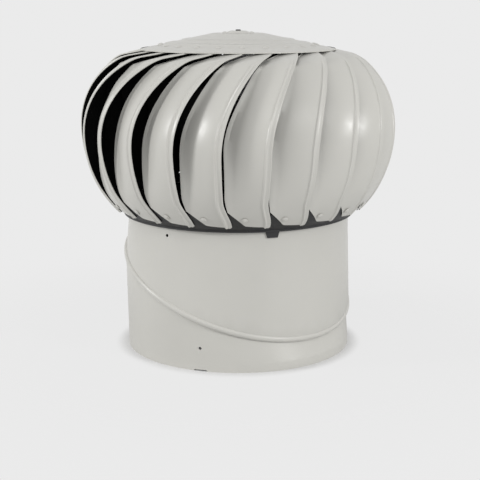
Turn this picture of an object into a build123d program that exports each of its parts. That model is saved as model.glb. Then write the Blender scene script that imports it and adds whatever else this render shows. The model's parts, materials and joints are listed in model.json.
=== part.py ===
from build123d import *
import math
import os

# A 300 mm roof turbine ventilator, in millimetres. +Z is up, the origin is the middle of the
# lower rim and the front faces -Y. Azimuths are degrees from the front, growing towards +X.

# ---- sheet and running clearances ----
sheet = 0.7                   # painted sheet of the throats, vanes and crown
seat_gap = 0.1                # between two sheets that lie on each other
head_gap = 0.3                # under a rivet's head on a curved sheet
fit_gap = 0.05                # round a shaft, screw or rivet in its hole
swivel_gap = 0.4              # between the two rolled beads of the swivel joint

# ---- throat ----
base_radius = 151.5           # outside of the lower end, which slips over a 300 mm collar
base_band = 10.0              # height of the straight band at the lower rim
neck_radius = 149.0           # outside of the upper end
neck_band = 28.0              # height of the straight band at the upper rim
neck_height = 200.0           # upper rim above the lower rim
fixing_hole_radius = 2.0
fixing_holes = 3
base_hole_height = 30.5
base_hole_azimuth = -18.5
neck_hole_height = 171.5
neck_hole_azimuth = -37.0
drain_width = 17.0            # shallow notch in the lower rim
drain_height = 1.8

# ---- oblique swivel joint: half a turn takes the head from level to twice the tilt ----
swivel_height = 96.2          # centre of the joint on the throat's axis
swivel_tilt = 22.5            # degrees
swivel_azimuth = 44.5         # where the joint is lowest
swivel_radius = 158.0         # outside of the upper throat's wall at the joint
joint_band = 5.0              # half height of the round band that both throats have there
joint_lip = 4.5               # how far each sheet reaches past the middle of the bead
bead_half_width = 3.9
bead_height = 2.6

# ---- spider, shaft and nuts ----
spider_arms = 3
spider_azimuth = 16.5         # first arm
hub_radius = 20.0
hub_height = 20.0
hub_base = 187.0
arm_width = 14.0
arm_flange = 3.0
arm_web = 3.0
arm_depth = 13.0
hook_wall = 2.2
hook_gap = 0.2                # between the hook and the throat's sheet
hook_width = 18.8
hook_tip_width = 13.3
hook_tip_height = 174.0       # lower end of the outer leg
hook_taper_height = 183.0     # where the outer leg starts to narrow
inner_leg_height = 185.0
spider_screw_height = 193.0
screw_radius = 2.0
screw_head_radius = 3.6
screw_head_height = 2.0
shaft_radius = 6.0
shoulder_radius = 8.0
shaft_foot = 170.0
nut_flats = 18.0
nut_height = 7.0
washer_radius = 8.6
washer_height = 1.0
circlip_radius = 8.6
circlip_height = 1.0

# ---- bearings and their housing ----
bearing_radius = 16.0
bearing_height = 10.0
race_radius = 9.2             # outside of the inner ring
shield_gap = 0.3              # between the inner ring and the shields
upper_bearing_base = 395.0
lower_bearing_base = 340.0
housing_radius = 20.0
housing_lip = 2.0
housing_lip_radius = 13.0
housing_flange_radius = 30.0
housing_flange = 2.0
housing_rivets = 4
housing_rivet_circle = 25.0
spacer_wall = 2.4

# ---- outline of the turbine head ----
belly_radius = 210.0
belly_height = 297.0
lower_curve = 150.0           # radius of the outline below the belly
upper_curve = 112.0           # radius of the outline above the belly
shoulder_curve = 35.0         # radius where the vanes turn in under the crown
rim_radius = 129.5            # outside of the crown
rim_height = 398.5            # underside of the crown at its rim
crown_slope = 12.0            # degrees

# ---- vanes ----
vane_count = 22
vane_azimuth = 2.6            # foot rivet of the first vane
foot_run = -118.0             # lower end, measured along the outline from the belly
tab_bend = 15.0               # past the crown's rim, where the vane's flat tab starts
tab_length = 18.0             # flat tab, riveted to the crown's underside
foot_width = 51.0
belly_width = 54.0
rim_width = 44.0
tab_width = 22.0
taper_start = 15.0            # the vane narrows between these two runs above the belly
taper_end = 105.0
foot_reach = 8.4              # degrees from the foot rivet to the outer edge
foot_flare = 2.8              # degrees more at the very foot
flare_run = 45.0
vane_sweep = 23.4             # degrees that the upper end leans round
sweep_run = 15.0              # above the belly, where the lean starts
foot_dish = 0.9               # how deep the inner edge lies below the outline
belly_dish = 13.0
rim_dish = 6.0
tab_dish = 1.2
dish_peak_run = 30.0
flange_width = 6.5
flange_tip_width = 4.0
rib_inset = 4.6               # from the outer edge to the rib
rib_width = 4.2
rib_height = 1.1
rib_fade_run = 22.0           # the rib runs out this far below the crown's rim
hem_width = 3.4
chamfer_start = 1.0           # along the foot's lower edge, from the rivet
chamfer_rise = 1.1            # rise per millimetre of the foot's slanted corner
foot_spare = 9.0              # past the foot, cut away with the corner and round the tongue
vane_spans = 17               # how many spans the blade is drawn in, below the crown's rim
tongue_width = 8.0
tongue_drop = 2.0

# ---- lower ring ----
ring_wall = 2.0
ring_depth = 2.4              # the ring's outside lies this far inside the outline
ring_top_run = -97.0
ring_lip_radius = 155.0
ring_lip_height = 182.2
ring_lip_rise = 2.4

# ---- rivets ----
rivet_radius = 1.6
rivet_head_radius = 4.0
rivet_head_height = 1.5
rivet_tail_radius = 2.8
rivet_tail_height = 1.0
foot_rivet_run = -104.0
crown_rivet_radius = 104.0

# ---- crown ----
crown_hem = 1.6
disc_radius = 34.0
disc_step = 1.2
disc_ramp = 6.0
crown_hole_radius = 12.0
swage_radii = (72.0, 93.0)
swage_width = 8.0
swage_height = 0.9
cap_radius = 17.0
cap_top_radius = 10.0
cap_height = 3.0
plug_radius = 3.0
plug_head_height = 1.4
plug_depth = 3.0

pitch = 360.0 / vane_count
spider_pitch = 360.0 / spider_arms


# ---------------------------------------------------------------------------------------------
# Directions and frames
# ---------------------------------------------------------------------------------------------

def outward(azimuth, lean=0.0):
    """Unit vector that points away from the axis, raised by lean degrees."""
    turn = math.radians(azimuth)
    rise = math.radians(lean)
    return Vector(math.cos(rise) * math.sin(turn), -math.cos(rise) * math.cos(turn), math.sin(rise))


def sideways(azimuth):
    """Unit vector along the circle, towards growing azimuth."""
    turn = math.radians(azimuth)
    return Vector(math.cos(turn), math.sin(turn), 0)


def place(radius, azimuth, height):
    return outward(azimuth) * radius + Vector(0, 0, height)


def meridian(azimuth):
    """Plane through the axis: local x is the radius and local y is the height."""
    return Plane(origin=(0, 0, 0), x_dir=outward(azimuth), z_dir=-sideways(azimuth))


def skin_plane(radius, azimuth, height, lean):
    """Plane on a surface of revolution: z points out of it and x runs along the circle."""
    return Plane(origin=place(radius, azimuth, height), x_dir=sideways(azimuth),
                 z_dir=outward(azimuth, lean))


def spun(profile_points, azimuth=0.0):
    """Solid of revolution about Z from (radius, height) points."""
    outline = Polyline([meridian(azimuth).from_local_coords(point) for point in profile_points],
                       close=True)
    return revolve(make_face(outline), axis=Axis.Z)


def tube(outer, inner, bottom, top):
    return spun([(inner, bottom), (outer, bottom), (outer, top), (inner, top)])


def group(solids):
    return Compound(children=list(solids))


# ---------------------------------------------------------------------------------------------
# Throat: each half is a round band at its end, a round band at the joint and a wall between
# ---------------------------------------------------------------------------------------------

swivel_normal = outward(swivel_azimuth, 90.0 - swivel_tilt)
swivel_side = sideways(swivel_azimuth)
swivel_centre = Vector(0, 0, swivel_height)
swivel_axis = Axis(swivel_centre, swivel_normal)


def joint_point(radius, offset):
    """Point in the joint's own section: offset is measured along the swivel axis."""
    return swivel_centre + swivel_side * radius + swivel_normal * offset


def level_circle(radius, height):
    return Plane(origin=(0, 0, height), x_dir=swivel_side, z_dir=(0, 0, 1)) * Circle(radius)


def joint_circle(radius, offset):
    plane = Plane(origin=swivel_centre + swivel_normal * offset, x_dir=swivel_side,
                  z_dir=swivel_normal)
    return plane * Circle(radius)


def transition(low, high, low_inside, high_inside):
    """Wall between two round sections that lie in different planes."""
    return loft([low, high], ruled=True) - loft([low_inside, high_inside], ruled=True)


def joint_skin(inset, low_end, high_end):
    """One skin of a beaded band, from its low end to its high end, set in by inset."""
    bulge = (bead_half_width ** 2 + bead_height ** 2) / (2 * bead_height)
    centre = swivel_radius + bead_height - bulge
    wall = swivel_radius - inset
    reach = math.sqrt((bulge - inset) ** 2 - (wall - centre) ** 2)
    return [
        Line(joint_point(wall, low_end), joint_point(wall, -reach)),
        ThreePointArc(joint_point(wall, -reach), joint_point(centre + bulge - inset, 0),
                      joint_point(wall, reach)),
        Line(joint_point(wall, reach), joint_point(wall, high_end)),
    ]


def beaded_band(inset, low_end, high_end):
    """Round band with a rolled bead; inset is how far its outer skin lies inside the wall."""
    outer = joint_skin(inset, low_end, high_end)
    inner = joint_skin(inset + sheet, low_end, high_end)
    low_edge = Line(inner[0] @ 0, outer[0] @ 0)
    high_edge = Line(outer[-1] @ 1, inner[-1] @ 1)
    section = make_face(Wire(outer + [high_edge] + inner + [low_edge]))
    return revolve(section, axis=swivel_axis)


nested = sheet + swivel_gap


def radial_drill(radius, azimuth, height, hole_radius, reach=12.0):
    plane = Plane(origin=place(radius, azimuth, height), x_dir=sideways(azimuth),
                  z_dir=outward(azimuth))
    return extrude(plane * Circle(hole_radius), reach, both=True)


def make_lower_throat():
    band = tube(base_radius, base_radius - sheet, 0, base_band)
    wall = transition(level_circle(base_radius, base_band),
                      joint_circle(swivel_radius - nested, -joint_band),
                      level_circle(base_radius - sheet, base_band),
                      joint_circle(swivel_radius - nested - sheet, -joint_band))
    throat = band + wall + beaded_band(nested, -joint_band, joint_lip)
    for number in range(fixing_holes):
        azimuth = base_hole_azimuth + 360.0 / fixing_holes * number
        throat -= radial_drill(base_radius, azimuth, base_hole_height, fixing_hole_radius)
    notch = Plane(origin=place(base_radius, base_hole_azimuth, 0), x_dir=sideways(base_hole_azimuth),
                  z_dir=(0, 0, 1)) * Box(drain_width, 4 * base_band, 2 * drain_height)
    return throat - notch


def make_upper_throat():
    band_base = neck_height - neck_band
    band = tube(neck_radius, neck_radius - sheet, band_base, neck_height)
    wall = transition(joint_circle(swivel_radius, joint_band),
                      level_circle(neck_radius, band_base),
                      joint_circle(swivel_radius - sheet, joint_band),
                      level_circle(neck_radius - sheet, band_base))
    throat = band + wall + beaded_band(0, -joint_lip, joint_band)
    for number in range(fixing_holes):
        azimuth = neck_hole_azimuth + 360.0 / fixing_holes * number
        throat -= radial_drill(neck_radius, azimuth, neck_hole_height, fixing_hole_radius)
    for arm in range(spider_arms):
        azimuth = spider_azimuth + spider_pitch * arm
        throat -= radial_drill(neck_radius, azimuth, spider_screw_height, screw_radius + fit_gap)
    return throat


# ---------------------------------------------------------------------------------------------
# Spider: a moulded hub with three arms that hook over the throat's upper rim
# ---------------------------------------------------------------------------------------------

inner_leg_outside = neck_radius - sheet - hook_gap
inner_leg_inside = inner_leg_outside - hook_wall
outer_leg_inside = neck_radius + hook_gap
outer_leg_outside = outer_leg_inside + hook_wall
arm_base = neck_height + hook_gap
arm_top = arm_base + arm_flange
hub_top = hub_base + hub_height


def curved_leg(inside, outside, bottom, top, tip_width=hook_width, taper_from=0.0):
    """Leg that follows the throat's wall; it may narrow to tip_width below taper_from."""
    ring = tube(outside, inside, bottom, top)
    plane = Plane(origin=(0, 0, 0), x_dir=(1, 0, 0), z_dir=(0, -1, 0))
    side = [(hook_width / 2, top)]
    if taper_from > bottom:
        side.append((hook_width / 2, taper_from))
    side.append((tip_width / 2, bottom))
    outline_points = side + [(-x, y) for x, y in reversed(side)]
    return ring & extrude(plane * make_face(Polyline(outline_points, close=True)), 2 * outside)


def make_spider_arm():
    """One arm along the front, with the hook at its end."""
    length = outer_leg_outside - hub_radius / 2
    middle = -(outer_leg_outside + hub_radius / 2) / 2
    flange = Pos(0, middle, arm_base + arm_flange / 2) * Box(arm_width, length, arm_flange)
    web_length = inner_leg_outside - hub_radius / 2
    web_middle = -(inner_leg_outside + hub_radius / 2) / 2
    web = Pos(0, web_middle, arm_base - arm_depth / 2) * Box(arm_web, web_length, arm_depth)
    web &= tube(inner_leg_outside, hub_radius / 2, arm_base - arm_depth, arm_base)
    flange &= tube(outer_leg_outside, hub_radius / 2, arm_base, arm_top)
    saddle = curved_leg(inner_leg_inside, outer_leg_outside, arm_base, arm_top)
    inner_leg = curved_leg(inner_leg_inside, inner_leg_outside, inner_leg_height, arm_base)
    outer_leg = curved_leg(outer_leg_inside, outer_leg_outside, hook_tip_height, arm_base,
                           hook_tip_width, hook_taper_height)
    arm = flange + web + saddle + inner_leg + outer_leg
    screw_hole = radial_drill(inner_leg_inside, 0, spider_screw_height, screw_radius + fit_gap)
    head_room = radial_drill(inner_leg_inside - screw_head_height, 0, spider_screw_height,
                             screw_head_radius + hook_gap, screw_head_height)
    return arm - screw_hole - head_room


def make_throat_spider():
    hub = tube(hub_radius, shaft_radius + fit_gap, hub_base, hub_top)
    arm = make_spider_arm()
    bore = tube(shaft_radius + fit_gap, 0, hub_base - 1, hub_top + 1)
    spider = hub
    for number in range(spider_arms):
        spider += arm.rotate(Axis.Z, spider_azimuth + spider_pitch * number)
    return spider - bore


def make_spider_screws():
    """Pan head screws from inside, through the leg and the sheet into the outer leg."""
    screws = []
    for number in range(spider_arms):
        azimuth = spider_azimuth + spider_pitch * number
        seat = skin_plane(inner_leg_inside - seat_gap, azimuth, spider_screw_height, 0)
        shank_length = outer_leg_outside - inner_leg_inside
        shank = extrude(seat * Circle(screw_radius), shank_length)
        head = extrude(seat * Circle(screw_head_radius), -screw_head_height)
        screws.append(shank + head)
    return group(screws)


# ---------------------------------------------------------------------------------------------
# Shaft, nuts and bearings
# ---------------------------------------------------------------------------------------------

lower_washer_base = hub_base - seat_gap - washer_height
lower_nut_base = lower_washer_base - seat_gap - nut_height
jam_nut_base = hub_top + seat_gap
upper_washer_base = upper_bearing_base + bearing_height + seat_gap
top_nut_base = upper_washer_base + washer_height + seat_gap
shaft_top = top_nut_base + nut_height + 1.5
shoulder_base = lower_bearing_base + bearing_height + seat_gap
shoulder_top = upper_bearing_base - seat_gap
circlip_base = lower_bearing_base - seat_gap - circlip_height


def make_shaft():
    return spun([(0, shaft_foot), (shaft_radius, shaft_foot), (shaft_radius, shoulder_base),
                 (shoulder_radius, shoulder_base), (shoulder_radius, shoulder_top),
                 (shaft_radius, shoulder_top), (shaft_radius, shaft_top), (0, shaft_top)])


def make_nut(base):
    hexagon = RegularPolygon(nut_flats / 2, 6, major_radius=False)
    return Pos(0, 0, base) * extrude(hexagon - Circle(shaft_radius + fit_gap), nut_height)


def make_shaft_nuts():
    return group([make_nut(base) for base in (lower_nut_base, jam_nut_base, top_nut_base)])


def make_shaft_washers():
    return group([tube(washer_radius, shaft_radius + fit_gap, base, base + washer_height)
                  for base in (lower_washer_base, upper_washer_base)])


def make_circlip():
    return tube(circlip_radius, shaft_radius + fit_gap, circlip_base,
                circlip_base + circlip_height)


def make_inner_ring(base):
    return tube(race_radius, shaft_radius + fit_gap, base, base + bearing_height)


def make_outer_ring(base):
    return tube(bearing_radius, race_radius + shield_gap, base, base + bearing_height)


def make_spacer():
    return tube(bearing_radius - fit_gap, bearing_radius - spacer_wall,
                lower_bearing_base + bearing_height + seat_gap, upper_bearing_base - seat_gap)


# ---------------------------------------------------------------------------------------------
# Crown: a shallow cone with two swaged rings, a raised disc, a cap and its plug
# ---------------------------------------------------------------------------------------------

slope = math.tan(math.radians(crown_slope))


def crown_underside(radius):
    return rim_height + seat_gap + (rim_radius - radius) * slope


disc_underside = crown_underside(disc_radius + disc_ramp) + disc_step
disc_top = disc_underside + sheet
housing_top = disc_underside - seat_gap
housing_base = lower_bearing_base - seat_gap - housing_lip


def crown_skin(lift):
    """One skin of the crown from the rim to the hole, lift above the underside."""
    corners = [(rim_radius, crown_underside(rim_radius) + lift)]
    for middle in sorted(swage_radii, reverse=True):
        for step, rise in ((swage_width / 2, 0), (swage_width / 5, swage_height),
                           (-swage_width / 5, swage_height), (-swage_width / 2, 0)):
            corners.append((middle + step, crown_underside(middle + step) + rise + lift))
    corners.append((disc_radius + disc_ramp, crown_underside(disc_radius + disc_ramp) + lift))
    corners.append((disc_radius, disc_underside + lift))
    corners.append((crown_hole_radius, disc_underside + lift))
    return corners


def make_crown():
    upper = crown_skin(sheet)
    hem = [(rim_radius, upper[0][1]), (rim_radius, upper[0][1] + sheet),
           (rim_radius - crown_hem, upper[0][1] + sheet + crown_hem * slope),
           (rim_radius - crown_hem, upper[0][1] + crown_hem * slope)]
    crown = spun(crown_skin(0) + upper[:0:-1] + hem[::-1])
    for number in range(vane_count):
        crown -= crown_rivet_hole(number)
    for number in range(housing_rivets):
        crown -= housing_rivet_hole(number)
    return crown


def make_cap():
    top = disc_top + seat_gap
    cap = spun([(plug_radius + fit_gap, top + cap_height - sheet), (plug_radius + fit_gap, top + cap_height),
                (cap_top_radius, top + cap_height), (cap_radius, top + sheet), (cap_radius, top),
                (cap_radius - sheet, top), (cap_top_radius - sheet, top + cap_height - sheet)])
    return cap


def make_plug():
    seat = disc_top + 2 * seat_gap + cap_height
    return spun([(0, seat - plug_depth), (plug_radius * 0.8, seat - plug_depth), (plug_radius, seat - sheet),
                 (plug_radius, seat), (plug_radius + 0.6, seat), (plug_radius, seat + plug_head_height),
                 (0, seat + plug_head_height)])


def housing_rivet_hole(number):
    azimuth = 360.0 / housing_rivets * (number + 0.5)
    plane = Plane(origin=place(housing_rivet_circle, azimuth, disc_underside), x_dir=(1, 0, 0),
                  z_dir=(0, 0, 1))
    return extrude(plane * Circle(rivet_radius + fit_gap), 6, both=True)


def make_housing():
    lip_top = lower_bearing_base - seat_gap
    bore = bearing_radius + fit_gap
    housing = spun([(housing_lip_radius, housing_base), (housing_radius, housing_base),
                    (housing_radius, housing_top - housing_flange),
                    (housing_flange_radius, housing_top - housing_flange),
                    (housing_flange_radius, housing_top), (bore, housing_top), (bore, lip_top),
                    (housing_lip_radius, lip_top)])
    for number in range(housing_rivets):
        housing -= housing_rivet_hole(number)
    return housing


def make_rivet(plane, grip):
    """Domed rivet whose head sits on the plane; the shank goes grip deep to its tail."""
    crown_radius = (rivet_head_radius ** 2 + rivet_head_height ** 2) / (2 * rivet_head_height)
    rise = crown_radius - rivet_head_height
    angle = math.asin(rivet_head_radius / crown_radius) / 2
    middle = (crown_radius * math.sin(angle), crown_radius * math.cos(angle) - rise)
    section = Plane.XZ * make_face([
        Line((0, -grip - rivet_tail_height), (rivet_tail_radius, -grip - rivet_tail_height)),
        Line((rivet_tail_radius, -grip - rivet_tail_height), (rivet_tail_radius, -grip)),
        Line((rivet_tail_radius, -grip), (rivet_radius, -grip)),
        Line((rivet_radius, -grip), (rivet_radius, 0)),
        Line((rivet_radius, 0), (rivet_head_radius, 0)),
        ThreePointArc((rivet_head_radius, 0), middle, (0, rivet_head_height)),
        Line((0, rivet_head_height), (0, -grip - rivet_tail_height)),
    ])
    return plane * revolve(section, axis=Axis.Z)


def make_housing_rivets():
    grip = 2 * seat_gap + sheet + housing_flange + seat_gap
    rivets = []
    for number in range(housing_rivets):
        azimuth = 360.0 / housing_rivets * (number + 0.5)
        seat = Plane(origin=place(housing_rivet_circle, azimuth, disc_top + seat_gap), x_dir=(1, 0, 0),
                     z_dir=(0, 0, 1))
        rivets.append(make_rivet(seat, grip))
    return group(rivets)


# ---------------------------------------------------------------------------------------------
# Outline of the head: three tangent arcs and the straight line under the crown
# ---------------------------------------------------------------------------------------------

end_lean = 90.0 - crown_slope
upper_centre = (belly_radius - upper_curve, belly_height)
line_distance = ((rim_radius - upper_centre[0]) * math.cos(math.radians(end_lean))
                 + (rim_height - upper_centre[1]) * math.sin(math.radians(end_lean)))
curve_step = upper_curve - shoulder_curve
shoulder_lean = end_lean - math.degrees(math.acos((line_distance - shoulder_curve) / curve_step))
shoulder_centre = (upper_centre[0] + curve_step * math.cos(math.radians(shoulder_lean)),
                   upper_centre[1] + curve_step * math.sin(math.radians(shoulder_lean)))
shoulder_run = math.radians(shoulder_lean) * upper_curve
line_run = shoulder_run + math.radians(end_lean - shoulder_lean) * shoulder_curve
line_start = (shoulder_centre[0] + shoulder_curve * math.cos(math.radians(end_lean)),
              shoulder_centre[1] + shoulder_curve * math.sin(math.radians(end_lean)))
rim_run = line_run + (line_start[0] - rim_radius) / math.cos(math.radians(crown_slope))
tab_start = rim_run + tab_bend


def outline(run):
    """Radius, height and lean of the outline, run millimetres along it from the belly."""
    if run > line_run:
        past = run - line_run
        return (line_start[0] - past * math.cos(math.radians(crown_slope)),
                line_start[1] + past * math.sin(math.radians(crown_slope)), end_lean)
    if run > shoulder_run:
        lean = shoulder_lean + math.degrees((run - shoulder_run) / shoulder_curve)
        centre, curve = shoulder_centre, shoulder_curve
    elif run > 0:
        lean = math.degrees(run / upper_curve)
        centre, curve = upper_centre, upper_curve
    else:
        lean = math.degrees(run / lower_curve)
        centre, curve = (belly_radius - lower_curve, belly_height), lower_curve
    return (centre[0] + curve * math.cos(math.radians(lean)),
            centre[1] + curve * math.sin(math.radians(lean)), lean)


# ---------------------------------------------------------------------------------------------
# Vanes: a dished blade with a flange on its inner edge and a rib and a hem on its outer edge
# ---------------------------------------------------------------------------------------------

def eased(start, end, run, run_start, run_end):
    """Value that goes smoothly from start to end between two places along the outline."""
    share = min(max((run - run_start) / (run_end - run_start), 0.0), 1.0)
    return start + (end - start) * share * share * (3 - 2 * share)


def straight(start, end, run, run_start, run_end):
    share = min(max((run - run_start) / (run_end - run_start), 0.0), 1.0)
    return start + (end - start) * share


def vane_width(run):
    if run < taper_start:
        return eased(foot_width, belly_width, run, foot_run, 0)
    if run < rim_run:
        return eased(belly_width, rim_width, run, taper_start, taper_end)
    return straight(rim_width, tab_width, run, rim_run, tab_start)


def vane_dish(run):
    if run < dish_peak_run:
        return eased(foot_dish, belly_dish, run, foot_run, dish_peak_run)
    if run < rim_run:
        return eased(belly_dish, rim_dish, run, dish_peak_run, rim_run)
    return straight(rim_dish, tab_dish, run, rim_run, tab_start)


def edge_azimuth(run):
    """Outer edge, in degrees from the foot rivet."""
    flare = eased(foot_flare, 0, run, foot_run, foot_run + flare_run)
    lean = max(run - sweep_run, 0) / (rim_run - sweep_run)
    return foot_reach + flare + vane_sweep * lean ** 1.5


def flange_reach(run):
    return straight(flange_width, flange_tip_width, run, taper_start, rim_run)


class Blade:
    """Section of a vane at one place along the outline, in its own plane.

    x runs along the circle and is 0 at the outer edge, y points out of the outline.
    """

    def __init__(self, run):
        self.radius, self.height, self.lean = outline(run)
        self.azimuth = edge_azimuth(run)
        self.bend = math.cos(math.radians(self.lean)) / (2 * self.radius)
        width = vane_width(run)
        flange = flange_reach(run)
        tip = Vector(-width, -vane_dish(run) - self.bend * width ** 2)
        along = Vector(1, 2 * self.bend * width).normalized()
        self.tip = tip
        self.crease = tip + along * flange
        self.flange_normal = Vector(-along.Y, along.X)
        self.curve = (self.crease.X ** 2 + self.crease.Y ** 2) / (-2 * self.crease.Y)
        self.rib = rib_height * eased(1, 0, run, rim_run - 2 * rib_fade_run, rim_run - rib_fade_run)

    def plane(self, azimuth=0.0):
        turned = self.azimuth + azimuth
        x_dir = sideways(turned)
        normal = x_dir.cross(outward(turned, self.lean))
        return Plane(origin=place(self.radius, turned, self.height), x_dir=x_dir, z_dir=normal)

    def on_curve(self, inset, depth=0.0, lift=0.0):
        """Point of the dished curve, inset from the outer edge, at a depth below its skin."""
        angle = math.asin(-inset / self.curve)
        reach = self.curve - depth + lift
        return Vector(math.sin(angle) * reach, math.cos(angle) * reach - self.curve)

    def skin(self, depth):
        """The section's line at a depth below the outer skin: flange, curve, rib and edge."""
        start = self.tip - self.flange_normal * depth
        corner_angle = math.asin(self.crease.X / self.curve)
        crease = self.on_curve(-self.crease.X, depth)
        middle = self.on_curve((-self.crease.X + rib_inset + rib_width) / 2, depth)
        rib_start = self.on_curve(rib_inset + rib_width, depth)
        rib_top = self.on_curve(rib_inset + rib_width / 2, depth, self.rib)
        rib_end = self.on_curve(rib_inset, depth)
        edge = self.on_curve(0, depth)
        return start, crease, middle, rib_start, rib_top, rib_end, edge

    def wire(self):
        plane = self.plane()

        def at(point):
            return plane.from_local_coords(point)

        o_start, o_crease, o_middle, o_rib, o_top, o_end, o_edge = map(at, self.skin(0))
        i_start, i_crease, i_middle, i_rib, i_top, i_end, i_edge = map(at, self.skin(sheet))
        hem_in = at(self.on_curve(hem_width, sheet))
        hem_low = at(self.on_curve(hem_width, 2 * sheet))
        hem_edge = at(self.on_curve(0, 2 * sheet))
        return Wire([
            Line(o_start, o_crease),
            ThreePointArc(o_crease, o_middle, o_rib),
            ThreePointArc(o_rib, o_top, o_end),
            Line(o_end, o_edge),
            Line(o_edge, hem_edge),
            Line(hem_edge, hem_low),
            Line(hem_low, hem_in),
            Line(hem_in, i_end),
            ThreePointArc(i_end, i_top, i_rib),
            ThreePointArc(i_rib, i_middle, i_crease),
            Line(i_crease, i_start),
            Line(i_start, o_start),
        ])


def skin_depth(run, azimuth):
    """How far below the outline a vane's outer skin lies, azimuth degrees from the foot rivet."""
    blade = Blade(run)
    inset = math.radians(blade.azimuth - azimuth) * blade.radius
    return -blade.on_curve(inset).Y - blade.bend * inset ** 2


def foot_trim():
    """Everything below the foot's edge: slanted corner, straight edge and rounded tongue."""
    radius, height, lean = outline(foot_run)
    plane = skin_plane(radius, 0, height, lean)
    edge = math.radians(edge_azimuth(foot_run)) * radius
    corner = -foot_width
    low = -40
    tongue_start = edge - tongue_width
    tongue_end = edge + 1
    corners = Polyline([
        (corner, chamfer_rise * (chamfer_start - corner)),
        (chamfer_start, 0),
        (tongue_start, 0),
        (tongue_start + tongue_drop, -tongue_drop),
        (tongue_end - tongue_drop, -tongue_drop),
        (tongue_end + tongue_drop, tongue_drop),
        (2 * edge, tongue_drop),
        (2 * edge, low),
        (corner, low),
    ], close=True)
    return extrude(plane * make_face(corners), 20, both=True)


def foot_rivet_seat(number):
    radius, height, lean = outline(foot_rivet_run)
    depth = skin_depth(foot_rivet_run, 0)
    azimuth = vane_azimuth + pitch * number
    centre = place(radius, azimuth, height) - outward(azimuth, lean) * (depth - head_gap)
    return Plane(origin=centre, x_dir=sideways(azimuth), z_dir=outward(azimuth, lean))


crown_rivet_run = rim_run + (rim_radius - crown_rivet_radius) / math.cos(math.radians(crown_slope))
crown_rivet_turn = (edge_azimuth(crown_rivet_run)
                    - math.degrees(tab_width / 2 / crown_rivet_radius))


def crown_rivet_seat(number):
    azimuth = vane_azimuth + crown_rivet_turn + pitch * number
    centre = place(crown_rivet_radius, azimuth, crown_underside(crown_rivet_radius) + sheet + seat_gap)
    return Plane(origin=centre, x_dir=sideways(azimuth), z_dir=outward(azimuth, end_lean))


def rivet_bore(seat):
    return extrude(seat * Circle(rivet_radius + fit_gap), 7, both=True)


def crown_rivet_hole(number):
    return rivet_bore(crown_rivet_seat(number))


def vane_stations():
    """Places along the outline where the vane's section is drawn."""
    start = foot_run - foot_spare
    step = (rim_run - start) / vane_spans
    blade = [start + step * number for number in range(vane_spans + 1)]
    return blade + [tab_start, tab_start + tab_length]


def make_first_vane():
    """The vane whose foot rivet is at azimuth 0."""
    sections = [Face(Blade(run).wire()) for run in vane_stations()]
    vane = loft(sections, ruled=True)
    vane -= foot_trim()
    vane -= rivet_bore(foot_rivet_seat(0)).rotate(Axis.Z, -vane_azimuth)
    vane -= rivet_bore(crown_rivet_seat(0)).rotate(Axis.Z, -vane_azimuth)
    return vane


# ---------------------------------------------------------------------------------------------
# Lower ring: a moulded band that follows the outline, with a short lip round the throat
# ---------------------------------------------------------------------------------------------

def make_lower_ring():
    def band_point(run, depth):
        radius, height, lean = outline(run)
        centre_radius = belly_radius - lower_curve
        reach = lower_curve - depth
        return (centre_radius + reach * math.cos(math.radians(lean)),
                belly_height + reach * math.sin(math.radians(lean)))

    bottom_run = foot_run - 4
    middle_run = (ring_top_run + bottom_run) / 2
    section_plane = meridian(0)

    def at(point):
        return section_plane.from_local_coords(point)

    inside = ring_depth + ring_wall
    shoulder = (ring_lip_radius, ring_lip_height + ring_lip_rise)
    lip_out = (ring_lip_radius, ring_lip_height)
    lip_in = (ring_lip_radius - ring_wall, ring_lip_height)
    lip_back = (ring_lip_radius - ring_wall, ring_lip_height + ring_lip_rise + ring_wall / 2)
    edges = [
        ThreePointArc(at(band_point(ring_top_run, ring_depth)), at(band_point(middle_run, ring_depth)),
                      at(band_point(bottom_run, ring_depth))),
        Line(at(band_point(bottom_run, ring_depth)), at(shoulder)),
        Line(at(shoulder), at(lip_out)),
        Line(at(lip_out), at(lip_in)),
        Line(at(lip_in), at(lip_back)),
        Line(at(lip_back), at(band_point(bottom_run, inside))),
        ThreePointArc(at(band_point(bottom_run, inside)), at(band_point(middle_run, inside)),
                      at(band_point(ring_top_run, inside))),
        Line(at(band_point(ring_top_run, inside)), at(band_point(ring_top_run, ring_depth))),
    ]
    ring = revolve(make_face(edges), axis=Axis.Z)
    for number in range(vane_count):
        ring -= rivet_bore(foot_rivet_seat(number))
    return ring


def make_foot_rivets():
    grip = ring_depth + ring_wall - skin_depth(foot_rivet_run, 0) + head_gap + seat_gap
    return group([make_rivet(foot_rivet_seat(number), grip) for number in range(vane_count)])


def make_crown_rivets():
    grip = 2 * seat_gap + sheet + tab_dish + 2 * sheet + 1.0
    return group([make_rivet(crown_rivet_seat(number), grip) for number in range(vane_count)])


# ---------------------------------------------------------------------------------------------

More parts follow.
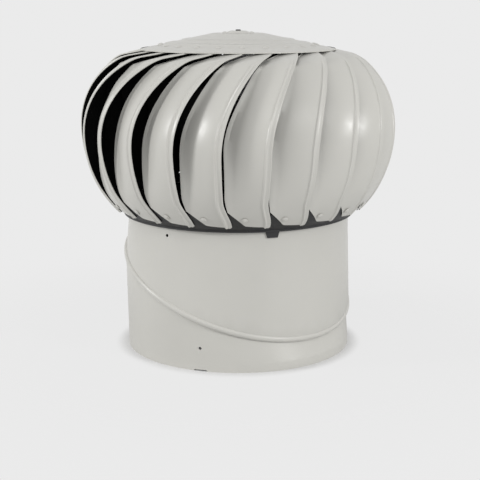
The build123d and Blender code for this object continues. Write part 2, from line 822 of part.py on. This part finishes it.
def main():
    os.makedirs("parts", exist_ok=True)
    nodes = {
        "lower_throat": make_lower_throat(),
        "upper_throat": make_upper_throat(),
        "throat_spider": make_throat_spider(),
        "spider_screws": make_spider_screws(),
        "shaft": make_shaft(),
        "shaft_nuts": make_shaft_nuts(),
        "shaft_washers": make_shaft_washers(),
        "shaft_circlip": make_circlip(),
        "upper_bearing_inner_ring": make_inner_ring(upper_bearing_base),
        "upper_bearing_outer_ring": make_outer_ring(upper_bearing_base),
        "lower_bearing_inner_ring": make_inner_ring(lower_bearing_base),
        "lower_bearing_outer_ring": make_outer_ring(lower_bearing_base),
        "bearing_spacer": make_spacer(),
        "bearing_housing": make_housing(),
        "housing_rivets": make_housing_rivets(),
        "crown": make_crown(),
        "crown_cap": make_cap(),
        "cap_plug": make_plug(),
        "lower_ring": make_lower_ring(),
        "foot_rivets": make_foot_rivets(),
        "crown_rivets": make_crown_rivets(),
    }
    first_vane = make_first_vane()
    for number in range(vane_count):
        turned = first_vane.rotate(Axis.Z, vane_azimuth + pitch * number)
        nodes["vane_%02d" % (number + 1)] = turned
    for name, shape in nodes.items():
        export_step(shape, "parts/%s.step" % name)


main()
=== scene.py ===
"""Roof turbine ventilator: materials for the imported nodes, finely drawn vanes, floor, light."""

import json
import math

import bpy
from mathutils import Matrix, Vector


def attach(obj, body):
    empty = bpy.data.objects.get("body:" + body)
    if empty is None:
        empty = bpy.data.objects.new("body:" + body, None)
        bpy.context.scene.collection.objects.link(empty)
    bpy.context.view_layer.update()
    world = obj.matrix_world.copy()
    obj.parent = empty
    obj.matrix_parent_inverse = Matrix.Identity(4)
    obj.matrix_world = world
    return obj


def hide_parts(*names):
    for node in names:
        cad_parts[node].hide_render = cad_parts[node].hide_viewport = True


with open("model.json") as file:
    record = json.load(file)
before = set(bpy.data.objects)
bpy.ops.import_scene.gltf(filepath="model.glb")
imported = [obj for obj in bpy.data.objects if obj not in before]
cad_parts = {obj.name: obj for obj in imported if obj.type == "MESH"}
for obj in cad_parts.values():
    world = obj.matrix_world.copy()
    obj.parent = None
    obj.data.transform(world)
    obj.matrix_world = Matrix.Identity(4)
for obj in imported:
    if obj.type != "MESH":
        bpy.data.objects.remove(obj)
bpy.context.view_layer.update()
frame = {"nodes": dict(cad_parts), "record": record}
nodes = frame["nodes"]

# ---- camera: metres and degrees, lens and sensor in millimetres ----
CAMERA_DISTANCE = 1.506
CAMERA_HEIGHT = 0.467
CAMERA_SIDE = 0.0024
CAMERA_PITCH = 12.26
CAMERA_LENS = 84.15
SENSOR_WIDTH = 36.0

# ---- colours, linear ----
PAINT = (0.590, 0.582, 0.545)
PAINT_SHADE = (0.570, 0.562, 0.525)
# near-black painted shade for the insides of the vanes, crown and throats, which lie in shade
INSIDE_PAINTED_SHADE = (0.010, 0.010, 0.010)
BLACK_POLYMER = (0.010, 0.010, 0.011)
ZINC = (0.55, 0.54, 0.50)
STEEL = (0.50, 0.50, 0.49)
ALUMINIUM = (0.60, 0.60, 0.61)
BACKDROP = (0.83, 0.83, 0.83)
FLOOR = (0.74, 0.74, 0.74)

# ---- light: strengths, and distances over the floor in metres from the object's axis ----
WORLD_LIGHT = 0.56
FLOOR_REACH = 2.0
FLOOR_FADE_START, FLOOR_FADE_END = 0.24, 0.62
SHADOW_START, SHADOW_END = 0.150, 0.172       # the floor's own shading fades out between these
SHADOW_GLOW, FLOOR_GLOW = 0.10, 0.92          # share of plain backdrop colour seen on the floor

# name, place, point aimed at, width and height in metres, power in watts
LAMPS = (
    ("key", (-2.05, -0.52, 0.86), (0.0, 0.0, 0.28), 0.36, 0.50, 18.0),
    ("fill", (1.60, -1.34, 0.90), (0.0, 0.0, 0.28), 0.36, 0.46, 15.0),
    ("front", (0.0, -2.3, 1.9), (0.0, 0.0, 0.25), 1.6, 1.0, 10.0),
)

# ---- smooth shading: metres and degrees ----
MERGE_DISTANCE = 0.00001
SMOOTH_ANGLE = 22.0

# ---- paint outside, near-black painted shade inside: the cosine between a face and the way out from the middle ----
HEAD_MIDDLE = (0.0, 0.0, 0.29)
ALL_WAYS = (1.0, 1.0, 1.0)
LEVEL_ONLY = (1.0, 1.0, 0.0)
VANE_SHADE_BELOW, VANE_PAINT_ABOVE = -0.10, 0.08
CROWN_SHADE_BELOW, CROWN_PAINT_ABOVE = -0.10, 0.05
THROAT_SHADE_BELOW, THROAT_PAINT_ABOVE = -0.30, -0.10

# ---- surface ----
NOISE_LOW, NOISE_HIGH = 0.3, 0.7              # most of a noise's values lie between these
INSIDE_ROUGHNESS = 0.8
OUTSIDE_SPECULAR = 0.5
POLYMER_LIFT = 1.35                           # the lighter clouds of the black polymer
METAL_SHADE = 0.82                            # the darker marks of a metal
NO_STRETCH = (1, 1, 1)
TURNED = (1, 1, 30)                           # marks packed closely along the axis


# ---------------------------------------------------------------------------------------------
# Shader helpers
# ---------------------------------------------------------------------------------------------

class Shader:
    """A material's node tree with short ways to add and join nodes."""

    def __init__(self, name):
        self.material = bpy.data.materials.new(name)
        self.material.use_nodes = True
        self.tree = self.material.node_tree
        self.tree.nodes.clear()
        self.out = self.tree.nodes.new("ShaderNodeOutputMaterial")
        self.coords = self.tree.nodes.new("ShaderNodeTexCoord")

    def add(self, kind, **values):
        node = self.tree.nodes.new(kind)
        for key, value in values.items():
            setattr(node, key, value)
        return node

    def join(self, source, target):
        if isinstance(source, (int, float)):
            target.default_value = source
        elif isinstance(source, tuple):
            size = len(target.default_value)
            target.default_value = (source + (1.0,))[:size]
        else:
            self.tree.links.new(source, target)

    def math(self, operation, first, second=None, third=None):
        node = self.add("ShaderNodeMath", operation=operation)
        for socket, value in zip(node.inputs, (first, second, third)):
            if value is not None:
                self.join(value, socket)
        return node.outputs[0]

    def vector(self, operation, first, second=None):
        node = self.add("ShaderNodeVectorMath", operation=operation)
        self.join(first, node.inputs[0])
        if second is not None:
            self.join(second, node.inputs[1])
        is_number = operation in ("DOT_PRODUCT", "LENGTH")
        return node.outputs["Value" if is_number else "Vector"]

    def noise(self, scale, detail=3.0, roughness=0.5, stretch=NO_STRETCH):
        mapping = self.add("ShaderNodeMapping")
        self.join(self.coords.outputs["Object"], mapping.inputs["Vector"])
        mapping.inputs["Scale"].default_value = stretch
        node = self.add("ShaderNodeTexNoise")
        self.join(mapping.outputs[0], node.inputs["Vector"])
        node.inputs["Scale"].default_value = scale
        node.inputs["Detail"].default_value = detail
        node.inputs["Roughness"].default_value = roughness
        return node.outputs["Fac"]

    def spread(self, value, low=NOISE_LOW, high=NOISE_HIGH, to_low=0.0, to_high=1.0, smooth=False):
        node = self.add("ShaderNodeMapRange", clamp=True)
        if smooth:
            node.interpolation_type = "SMOOTHSTEP"
        self.join(value, node.inputs["Value"])
        for name, number in (("From Min", low), ("From Max", high),
                             ("To Min", to_low), ("To Max", to_high)):
            node.inputs[name].default_value = number
        return node.outputs["Result"]

    def blend(self, share, first, second):
        node = self.add("ShaderNodeMix", data_type="RGBA")
        self.join(share, node.inputs["Factor"])
        self.join(first, node.inputs[6])
        self.join(second, node.inputs[7])
        return node.outputs[2]

    def bump(self, height, strength, distance):
        node = self.add("ShaderNodeBump")
        node.inputs["Strength"].default_value = strength
        node.inputs["Distance"].default_value = distance
        self.join(height, node.inputs["Height"])
        return node.outputs[0]

    def principled(self, colour, roughness, metallic=0.0, normal=None, **extra):
        node = self.add("ShaderNodeBsdfPrincipled")
        self.join(colour, node.inputs["Base Color"])
        self.join(roughness, node.inputs["Roughness"])
        self.join(metallic, node.inputs["Metallic"])
        if normal is not None:
            self.join(normal, node.inputs["Normal"])
        for name, value in extra.items():
            self.join(value, node.inputs[name.replace("_", " ")])
        return node.outputs[0]

    def finish(self, shader):
        self.tree.links.new(shader, self.out.inputs["Surface"])
        return self.material


def paint_parts(shader):
    """Colour, roughness and normal of the powder coat: faint mottling, orange peel and dust."""
    cloud = shader.noise(scale=9.0, detail=4.0, roughness=0.55)
    mottle = shader.noise(scale=140.0)
    peel = shader.noise(scale=900.0, detail=2.0)
    dust = shader.spread(mottle, low=0.62, high=0.8, to_high=0.12)
    colour = shader.blend(shader.spread(cloud), PAINT_SHADE, PAINT)
    colour = shader.blend(dust, colour, PAINT_SHADE)
    roughness = shader.spread(mottle, to_low=0.30, to_high=0.38)
    normal = shader.bump(peel, strength=0.10, distance=0.00025)
    return colour, roughness, normal


def paint():
    shader = Shader("warm_grey_paint")
    colour, roughness, normal = paint_parts(shader)
    return shader.finish(shader.principled(colour, roughness, normal=normal,
                                           Coat_Weight=0.15, Coat_Roughness=0.2))


def paint_with_painted_shade_inside(name, inside, outside, flatten):
    """Paint outside and near-black painted shade inside, told apart by the way that the surface
    faces.
    """
    shader = Shader(name)
    colour, roughness, normal = paint_parts(shader)
    from_middle = shader.vector("SUBTRACT", shader.coords.outputs["Object"], HEAD_MIDDLE)
    from_middle = shader.vector("NORMALIZE", shader.vector("MULTIPLY", from_middle, flatten))
    facing = shader.vector("DOT_PRODUCT", from_middle, shader.coords.outputs["Normal"])
    # 1 on outside faces, which take the paint; 0 on inside faces, which take the near-black
    # painted shade
    outside_share = shader.spread(facing, inside, outside)
    colour = shader.blend(outside_share, INSIDE_PAINTED_SHADE, colour)
    smoother = shader.math("SUBTRACT", roughness, INSIDE_ROUGHNESS)
    roughness = shader.math("MULTIPLY_ADD", outside_share, smoother, INSIDE_ROUGHNESS)
    specular = shader.math("MULTIPLY", outside_share, OUTSIDE_SPECULAR)
    return shader.finish(shader.principled(colour, roughness, normal=normal,
                                           Specular_IOR_Level=specular))


def black_polymer():
    shader = Shader("black_polymer")
    grain = shader.noise(scale=700.0)
    clouds = shader.spread(shader.noise(scale=25.0), low=0.35, high=0.65)
    colour = shader.blend(clouds, BLACK_POLYMER,
                          tuple(POLYMER_LIFT * part for part in BLACK_POLYMER))
    return shader.finish(shader.principled(
        colour, shader.spread(grain, to_low=0.42, to_high=0.55),
        normal=shader.bump(grain, strength=0.2, distance=0.0004)))


def metal(name, colour, smoothest, roughest, stretch):
    """Bare or plated metal with fine marks, squeezed into rings round a turned piece's axis."""
    shader = Shader(name)
    brushed = shader.noise(scale=300.0, detail=4.0, roughness=0.6, stretch=stretch)
    tint = shader.blend(shader.spread(brushed), colour,
                        tuple(METAL_SHADE * part for part in colour))
    return shader.finish(shader.principled(
        tint, shader.spread(brushed, to_low=smoothest, to_high=roughest), metallic=1.0,
        normal=shader.bump(brushed, strength=0.15, distance=0.0002)))


paint_material = paint()
# vanes, crown and throats: paint outside, near-black painted shade on their insides
vane_material = paint_with_painted_shade_inside("vane_paint", VANE_SHADE_BELOW, VANE_PAINT_ABOVE, ALL_WAYS)
crown_material = paint_with_painted_shade_inside("crown_paint_with_painted_shade", CROWN_SHADE_BELOW, CROWN_PAINT_ABOVE, ALL_WAYS)
throat_material = paint_with_painted_shade_inside("throat_paint_with_painted_shade", THROAT_SHADE_BELOW, THROAT_PAINT_ABOVE, LEVEL_ONLY)
black_material = black_polymer()
zinc_material = metal("zinc_plate", ZINC, smoothest=0.3, roughest=0.45, stretch=NO_STRETCH)
steel_material = metal("ground_steel", STEEL, smoothest=0.2, roughest=0.34, stretch=TURNED)
aluminium_material = metal("turned_aluminium", ALUMINIUM, smoothest=0.3, roughest=0.45,
                           stretch=TURNED)

by_slot = {
    "painted_sheet": paint_material,
    "painted_rivet": paint_material,
    "black_polymer": black_material,
    "zinc_plated": zinc_material,
    "bare_steel": steel_material,
    "aluminium": aluminium_material,
}


def smooth_modifier():
    """Node group that joins the facets of a lofted sheet and shades them as one curved surface."""
    group = bpy.data.node_groups.new("smooth_shading", "GeometryNodeTree")
    group.interface.new_socket("Geometry", in_out="INPUT", socket_type="NodeSocketGeometry")
    group.interface.new_socket("Geometry", in_out="OUTPUT", socket_type="NodeSocketGeometry")
    start = group.nodes.new("NodeGroupInput")
    end = group.nodes.new("NodeGroupOutput")
    merge = group.nodes.new("GeometryNodeMergeByDistance")
    merge.inputs["Distance"].default_value = MERGE_DISTANCE
    smooth_faces = group.nodes.new("GeometryNodeSetShadeSmooth")
    smooth_faces.domain = "FACE"
    smooth_faces.inputs["Shade Smooth"].default_value = True
    smooth_edges = group.nodes.new("GeometryNodeSetShadeSmooth")
    smooth_edges.domain = "EDGE"
    angle = group.nodes.new("GeometryNodeInputMeshEdgeAngle")
    below = group.nodes.new("FunctionNodeCompare")
    below.data_type = "FLOAT"
    below.operation = "LESS_THAN"
    below.inputs[1].default_value = math.radians(SMOOTH_ANGLE)
    links = group.links
    links.new(start.outputs[0], merge.inputs["Geometry"])
    links.new(merge.outputs["Geometry"], smooth_faces.inputs["Geometry"])
    links.new(smooth_faces.outputs["Geometry"], smooth_edges.inputs["Geometry"])
    links.new(angle.outputs["Unsigned Angle"], below.inputs[0])
    links.new(below.outputs["Result"], smooth_edges.inputs["Shade Smooth"])
    links.new(smooth_edges.outputs["Geometry"], end.inputs[0])
    return group


smooth_group = smooth_modifier()
slot_of = {part["node"]: part["material_slot"] for part in frame["record"]["subparts"]}


def dress(name, material):
    mesh = nodes[name].data
    mesh.materials.clear()
    mesh.materials.append(material)
    modifier = nodes[name].modifiers.new("smooth", "NODES")
    modifier.node_group = smooth_group


for node_name in nodes:
    if node_name.startswith("vane_"):
        dress(node_name, vane_material)
    elif node_name == "crown":
        dress(node_name, crown_material)
    elif node_name in ("lower_throat", "upper_throat"):
        dress(node_name, throat_material)
    else:
        dress(node_name, by_slot[slot_of[node_name]])


# ---------------------------------------------------------------------------------------------
# Vanes, in place of the solids' plainer ones: deeper dish, smooth sweep, rolled hem, soft rib
# ---------------------------------------------------------------------------------------------

# Lengths in millimetres, azimuths and angles in degrees, runs along the head's outline from the
# belly, positive upward.
MILLIMETRE = 0.001
SHEET = 0.7

# outline: curves below and above the belly, a shoulder, then the crown's slope
BELLY_RADIUS, BELLY_HEIGHT = 210.0, 297.0
LOWER_CURVE, UPPER_CURVE, SHOULDER_CURVE = 150.0, 112.0, 35.0
RIM_RADIUS, RIM_HEIGHT, CROWN_SLOPE = 129.5, 398.5, 12.0
END_LEAN = 90.0 - CROWN_SLOPE

# vanes: number, first foot rivet, lower end, and the upper end past the crown's rim
VANES, VANE_AZIMUTH = 22, 2.6
FOOT_RUN, TAB_BEND = -118.0, 14.0

# width, which changes again between two runs above the belly
FOOT_WIDTH, BELLY_WIDTH, RIM_WIDTH, TAB_WIDTH = 51.0, 53.0, 54.0, 24.0
TAPER_START, TAPER_END = 60.0, 130.0

# outer edge: from the foot rivet, flared at the foot, leaning round above SWEEP_RUN
FOOT_REACH, FOOT_FLARE, FLARE_RUN = 8.4, 2.8, 45.0
SWEEP, SWEEP_RUN, SWEEP_POWER = 23.8, -20.0, 2.05

# dish: how deep the inner edge lies below the outline, and how far that tilts the outer edge
FOOT_DISH, BELLY_DISH, RIM_DISH, TAB_DISH, DISH_PEAK = 1.2, 23.0, 7.0, 2.2, 15.0
EDGE_SHARE = 0.5

# flange on the inner edge, rib and rolled hem on the outer one
FLANGE, FLANGE_TIP = 8.0, 5.0
RIB_INSET, RIB_WIDTH, RIB_HEIGHT = 4.8, 4.6, 1.4
RIB_FADE_START, RIB_FADE_END = 44.0, 22.0     # below the crown's rim
HEM_WIDTH, HEM_RADIUS = 3.6, 1.1
HEM_TUCK = 0.1                                # its middle lies this far above the roll's bottom
HEM_GAP = 0.05                                # its end lies this far below the blade's inside

# foot's lower edge: a slanted corner at the rivet and a tongue at the outer edge
CHAMFER_START, CHAMFER_RISE = 1.0, 1.1
TONGUE_WIDTH, TONGUE_DROP = 8.0, 2.0
TONGUE_SHARE = 0.3                            # of the drop, at the very edge

# facets: along the vane, and across each part of its section
STATIONS = 64
FLANGE_SPANS, BLADE_SPANS, RIB_SPANS = 3, 16, 8
EDGE_SPANS, ROLL_SPANS, UNDER_SPANS = 3, 6, 2


def cosd(angle):
    return math.cos(math.radians(angle))


def sind(angle):
    return math.sin(math.radians(angle))


UPPER_CENTRE = BELLY_RADIUS - UPPER_CURVE
LINE_DISTANCE = ((RIM_RADIUS - UPPER_CENTRE) * cosd(END_LEAN)
                 + (RIM_HEIGHT - BELLY_HEIGHT) * sind(END_LEAN))
SHOULDER_LEAN = END_LEAN - math.degrees(math.acos(
    (LINE_DISTANCE - SHOULDER_CURVE) / (UPPER_CURVE - SHOULDER_CURVE)))
SHOULDER_RADIUS = UPPER_CENTRE + (UPPER_CURVE - SHOULDER_CURVE) * cosd(SHOULDER_LEAN)
SHOULDER_HEIGHT = BELLY_HEIGHT + (UPPER_CURVE - SHOULDER_CURVE) * sind(SHOULDER_LEAN)
SHOULDER_RUN = math.radians(SHOULDER_LEAN) * UPPER_CURVE
LINE_RUN = SHOULDER_RUN + math.radians(END_LEAN - SHOULDER_LEAN) * SHOULDER_CURVE
LINE_RADIUS = SHOULDER_RADIUS + SHOULDER_CURVE * cosd(END_LEAN)
LINE_HEIGHT = SHOULDER_HEIGHT + SHOULDER_CURVE * sind(END_LEAN)
RIM_RUN = LINE_RUN + (LINE_RADIUS - RIM_RADIUS) / cosd(CROWN_SLOPE)
TAB_RUN = RIM_RUN + TAB_BEND


def outline(run):
    """Radius, height and lean of the head's outline, run millimetres along it from the belly."""
    if run > LINE_RUN:
        past = run - LINE_RUN
        return (LINE_RADIUS - past * cosd(CROWN_SLOPE),
                LINE_HEIGHT + past * sind(CROWN_SLOPE), END_LEAN)
    if run > SHOULDER_RUN:
        lean = SHOULDER_LEAN + math.degrees((run - SHOULDER_RUN) / SHOULDER_CURVE)
        return (SHOULDER_RADIUS + SHOULDER_CURVE * cosd(lean),
                SHOULDER_HEIGHT + SHOULDER_CURVE * sind(lean), lean)
    curve = UPPER_CURVE if run > 0 else LOWER_CURVE
    lean = math.degrees(run / curve)
    return BELLY_RADIUS - curve + curve * cosd(lean), BELLY_HEIGHT + curve * sind(lean), lean


def share_of(run, start, end):
    """How far run has come from start to end, held between 0 and 1."""
    return min(max((run - start) / (end - start), 0.0), 1.0)


def eased(low, high, run, start, end):
    share = share_of(run, start, end)
    return low + (high - low) * share * share * (3 - 2 * share)


def straight(low, high, run, start, end):
    return low + (high - low) * share_of(run, start, end)


def vane_width(run):
    if run < TAPER_START:
        return eased(FOOT_WIDTH, BELLY_WIDTH, run, FOOT_RUN, 0)
    if run < RIM_RUN:
        return eased(BELLY_WIDTH, RIM_WIDTH, run, TAPER_START, TAPER_END)
    return straight(RIM_WIDTH, TAB_WIDTH, run, RIM_RUN, TAB_RUN)


def vane_dish(run):
    if run < DISH_PEAK:
        return eased(FOOT_DISH, BELLY_DISH, run, FOOT_RUN, DISH_PEAK)
    if run < RIM_RUN:
        return eased(BELLY_DISH, RIM_DISH, run, DISH_PEAK, RIM_RUN)
    return straight(RIM_DISH, TAB_DISH, run, RIM_RUN, TAB_RUN)


def edge_azimuth(run):
    flare = eased(FOOT_FLARE, 0, run, FOOT_RUN, FOOT_RUN + FLARE_RUN)
    lean = max(run - SWEEP_RUN, 0) / (RIM_RUN - SWEEP_RUN)
    return FOOT_REACH + flare + SWEEP * lean ** SWEEP_POWER


def vane_columns():
    """The section's points as (part, share along it, side), side 0 outside and 1 inside."""
    outer = [("flange", i / FLANGE_SPANS) for i in range(FLANGE_SPANS)]
    outer += [("blade", i / BLADE_SPANS) for i in range(BLADE_SPANS + 1)]
    outer += [("rib", i / RIB_SPANS) for i in range(1, RIB_SPANS + 1)]
    outer += [("edge", i / EDGE_SPANS) for i in range(1, EDGE_SPANS)]
    roll = [("roll", i / ROLL_SPANS, 0) for i in range(ROLL_SPANS + 1)]
    under = [("under", i / UNDER_SPANS, 1) for i in range(1, UNDER_SPANS + 1)]
    inner = [(part, share, 1) for part, share in reversed(outer) if part != "edge"]
    return [(part, share, 0) for part, share in outer] + roll + under + inner


def foot_lift(inset):
    """How far above the foot's edge a column starts: slanted corner, straight edge, tongue."""
    edge = math.radians(edge_azimuth(FOOT_RUN)) * outline(FOOT_RUN)[0]
    from_rivet = edge - inset
    if from_rivet < CHAMFER_START:
        return CHAMFER_RISE * (CHAMFER_START - from_rivet)
    if inset > TONGUE_WIDTH:
        return 0.0
    return -TONGUE_DROP * min((TONGUE_WIDTH - inset) / TONGUE_DROP, 1.0,
                              TONGUE_SHARE + inset / TONGUE_DROP)


def rib_inset(share):
    return RIB_INSET + RIB_WIDTH * (1 - share)


def edge_inset(share):
    return HEM_RADIUS + (RIB_INSET - HEM_RADIUS) * (1 - share)


class Section:
    """A vane's section at one run: x is across it from the outer edge, y is out of the head."""

    def __init__(self, run):
        self.run = run
        self.radius, self.height, self.lean = outline(run)
        width, dish = vane_width(run), vane_dish(run)
        bend = cosd(self.lean) / (2 * self.radius)
        slope = 2 * bend * width
        scale = math.hypot(1.0, slope)
        flange = straight(FLANGE, FLANGE_TIP, run, TAPER_START, RIM_RUN)
        self.along = (1.0 / scale, slope / scale)
        self.tip = (-width, -dish - bend * width ** 2)
        self.crease = (self.tip[0] + self.along[0] * flange, self.tip[1] + self.along[1] * flange)
        self.tilt = EDGE_SHARE * math.atan2(dish, width)
        level_y = self.crease[1] * math.cos(self.tilt) - self.crease[0] * math.sin(self.tilt)
        self.curve = (self.crease[0] ** 2 + self.crease[1] ** 2) / (-2 * level_y)

    def on_curve(self, inset, depth, lift=0.0):
        """Point of the dished blade, inset from the outer edge, at a depth below its skin."""
        angle = math.asin(-inset / math.cos(self.tilt) / self.curve)
        reach = self.curve - depth + lift
        level_x, level_y = math.sin(angle) * reach, math.cos(angle) * reach - self.curve
        return (level_x * math.cos(self.tilt) - level_y * math.sin(self.tilt),
                level_x * math.sin(self.tilt) + level_y * math.cos(self.tilt))

    def flange(self, share, depth):
        return (self.tip[0] + (self.crease[0] - self.tip[0]) * share + depth * self.along[1],
                self.tip[1] + (self.crease[1] - self.tip[1]) * share - depth * self.along[0])

    def blade(self, share, depth):
        rib_start = RIB_INSET + RIB_WIDTH
        return self.on_curve(-self.crease[0] + (rib_start + self.crease[0]) * share, depth)

    def rib(self, share, depth):
        rise = RIB_HEIGHT * eased(1, 0, self.run, RIM_RUN - RIB_FADE_START, RIM_RUN - RIB_FADE_END)
        lift = rise * 0.5 * (1 - math.cos(2 * math.pi * share))
        return self.on_curve(rib_inset(share), depth, lift)

    def edge(self, share, depth):
        return self.on_curve(edge_inset(share), depth)

    def roll(self, share, _):
        turn = math.pi * share
        return (-HEM_RADIUS + HEM_RADIUS * math.sin(turn),
                -HEM_RADIUS + HEM_RADIUS * math.cos(turn))

    def under(self, share, depth):
        """The hem's way back under the blade, which it meets at its end."""
        x, y = self.on_curve(HEM_RADIUS + (HEM_WIDTH - HEM_RADIUS) * share, depth)
        drop = 2 * HEM_RADIUS - SHEET - HEM_TUCK if share < 1.0 else HEM_GAP
        return x, y - drop

    def place(self, part, share, side):
        """One point in metres, for the vane whose foot rivet is at azimuth 0."""
        x, y = getattr(self, part)(share, SHEET * side)
        azimuth = edge_azimuth(self.run)
        out_x = cosd(self.lean) * sind(azimuth)
        out_y = -cosd(self.lean) * cosd(azimuth)
        out_z = sind(self.lean)
        px = self.radius * sind(azimuth) + x * cosd(azimuth) + y * out_x
        py = -self.radius * cosd(azimuth) + x * sind(azimuth) + y * out_y
        pz = self.height + y * out_z
        return px * MILLIMETRE, py * MILLIMETRE, pz * MILLIMETRE


def column_inset(part, share):
    """How far inside the outer edge a column starts at the foot."""
    blade_end = RIB_INSET + RIB_WIDTH
    crease = FOOT_WIDTH - FLANGE
    return {
        "flange": FOOT_WIDTH - FLANGE * share,
        "blade": crease - (crease - blade_end) * share,
        "rib": rib_inset(share),
        "edge": edge_inset(share),
        "roll": 0.0,
        "under": HEM_WIDTH * share,
    }[part]


def make_vane_mesh():
    columns = vane_columns()
    count = len(columns)
    verts = []
    for station in range(STATIONS + 1):
        for part, share, side in columns:
            start = FOOT_RUN + foot_lift(column_inset(part, share))
            run = start + (TAB_RUN - start) * station / STATIONS
            verts.append(Section(run).place(part, share, side))
    foot_end = tuple(range(count))
    tab_end = tuple(reversed(range(STATIONS * count, (STATIONS + 1) * count)))
    faces = [foot_end, tab_end]
    for station in range(STATIONS):
        low, high = station * count, (station + 1) * count
        for i in range(count):
            j = (i + 1) % count
            faces.append((low + j, low + i, high + i, high + j))
    mesh = bpy.data.meshes.new("vane_blade")
    mesh.from_pydata(verts, [], faces)
    mesh.validate()
    for polygon in mesh.polygons:
        polygon.use_smooth = True
    mesh.materials.append(vane_material)
    return mesh


def make_vanes():
    first = make_vane_mesh()
    for number in range(VANES):
        azimuth = math.radians(VANE_AZIMUTH + 360.0 / VANES * number)
        mesh = first.copy()
        mesh.transform(Matrix.Rotation(azimuth, 4, "Z"))
        blade = bpy.data.objects.new("vane_blade_%02d" % (number + 1), mesh)
        bpy.context.scene.collection.objects.link(blade)
        modifier = blade.modifiers.new("smooth", "NODES")
        modifier.node_group = smooth_group
        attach(blade, "turbine_head")
        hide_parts("vane_%02d" % (number + 1))


make_vanes()


# ---------------------------------------------------------------------------------------------
# Floor, light and camera
# ---------------------------------------------------------------------------------------------

def backdrop_world():
    """World that lights evenly, and shows the backdrop's colour where it is seen itself."""
    world = bpy.data.worlds.new("studio")
    bpy.context.scene.world = world
    world.use_nodes = True
    tree = world.node_tree
    tree.nodes.clear()
    out = tree.nodes.new("ShaderNodeOutputWorld")
    mix = tree.nodes.new("ShaderNodeMixShader")
    light = tree.nodes.new("ShaderNodeBackground")
    seen = tree.nodes.new("ShaderNodeBackground")
    path = tree.nodes.new("ShaderNodeLightPath")
    light.inputs["Color"].default_value = (1.0, 1.0, 1.0, 1.0)
    light.inputs["Strength"].default_value = WORLD_LIGHT
    seen.inputs["Color"].default_value = BACKDROP + (1.0,)
    is_seen = path.outputs["Is Camera Ray"]
    for ray in ("Is Transmission Ray", "Is Glossy Ray"):
        either = tree.nodes.new("ShaderNodeMath")
        either.operation = "MAXIMUM"
        tree.links.new(is_seen, either.inputs[0])
        tree.links.new(path.outputs[ray], either.inputs[1])
        is_seen = either.outputs[0]
    tree.links.new(is_seen, mix.inputs["Fac"])
    tree.links.new(light.outputs[0], mix.inputs[1])
    tree.links.new(seen.outputs[0], mix.inputs[2])
    tree.links.new(mix.outputs[0], out.inputs["Surface"])


def floor_plane():
    """Pale floor that fades into the backdrop away from the object, so that no edge shows."""
    mesh = bpy.data.meshes.new("floor")
    corners = [(x * FLOOR_REACH, y * FLOOR_REACH, 0)
               for x, y in ((-1, -1), (1, -1), (1, 1), (-1, 1))]
    mesh.from_pydata(corners, [], [(0, 1, 2, 3)])
    floor = bpy.data.objects.new("floor", mesh)
    bpy.context.scene.collection.objects.link(floor)
    shader = Shader("floor")
    distance = shader.vector("LENGTH", shader.coords.outputs["Object"])
    fade = shader.spread(distance, FLOOR_FADE_START, FLOOR_FADE_END, smooth=True)
    diffuse = shader.add("ShaderNodeBsdfDiffuse")
    diffuse.inputs["Color"].default_value = FLOOR + (1.0,)
    glow = shader.add("ShaderNodeEmission")
    glow.inputs["Color"].default_value = BACKDROP + (1.0,)
    path = shader.add("ShaderNodeLightPath")
    glow_share = shader.spread(distance, SHADOW_START, SHADOW_END, SHADOW_GLOW, FLOOR_GLOW,
                               smooth=True)
    lift = shader.math("MULTIPLY", path.outputs["Is Camera Ray"], glow_share)
    lit = shader.add("ShaderNodeMixShader")
    shader.join(lift, lit.inputs["Fac"])
    shader.join(diffuse.outputs[0], lit.inputs[1])
    shader.join(glow.outputs[0], lit.inputs[2])
    clear = shader.add("ShaderNodeBsdfTransparent")
    mix = shader.add("ShaderNodeMixShader")
    shader.join(fade, mix.inputs["Fac"])
    shader.join(lit.outputs[0], mix.inputs[1])
    shader.join(clear.outputs[0], mix.inputs[2])
    mesh.materials.append(shader.finish(mix.outputs[0]))


def area_light(name, place, aim, width, height, power):
    light = bpy.data.lights.new(name, "AREA")
    light.shape = "RECTANGLE"
    light.size = width
    light.size_y = height
    light.energy = power
    lamp = bpy.data.objects.new(name, light)
    bpy.context.scene.collection.objects.link(lamp)
    lamp.location = place
    lamp.rotation_euler = (Vector(aim) - Vector(place)).to_track_quat("-Z", "Y").to_euler()


def make_camera():
    data = bpy.data.cameras.new("camera")
    data.sensor_width = SENSOR_WIDTH
    data.lens = CAMERA_LENS
    camera = bpy.data.objects.new("camera", data)
    bpy.context.scene.collection.objects.link(camera)
    camera.location = (CAMERA_SIDE, -CAMERA_DISTANCE, CAMERA_HEIGHT)
    camera.rotation_euler = (math.radians(90.0 - CAMERA_PITCH), 0.0, 0.0)
    bpy.context.scene.camera = camera


backdrop_world()
floor_plane()
for lamp in LAMPS:
    area_light(*lamp)
make_camera()
bpy.context.scene.view_settings.view_transform = "Standard"
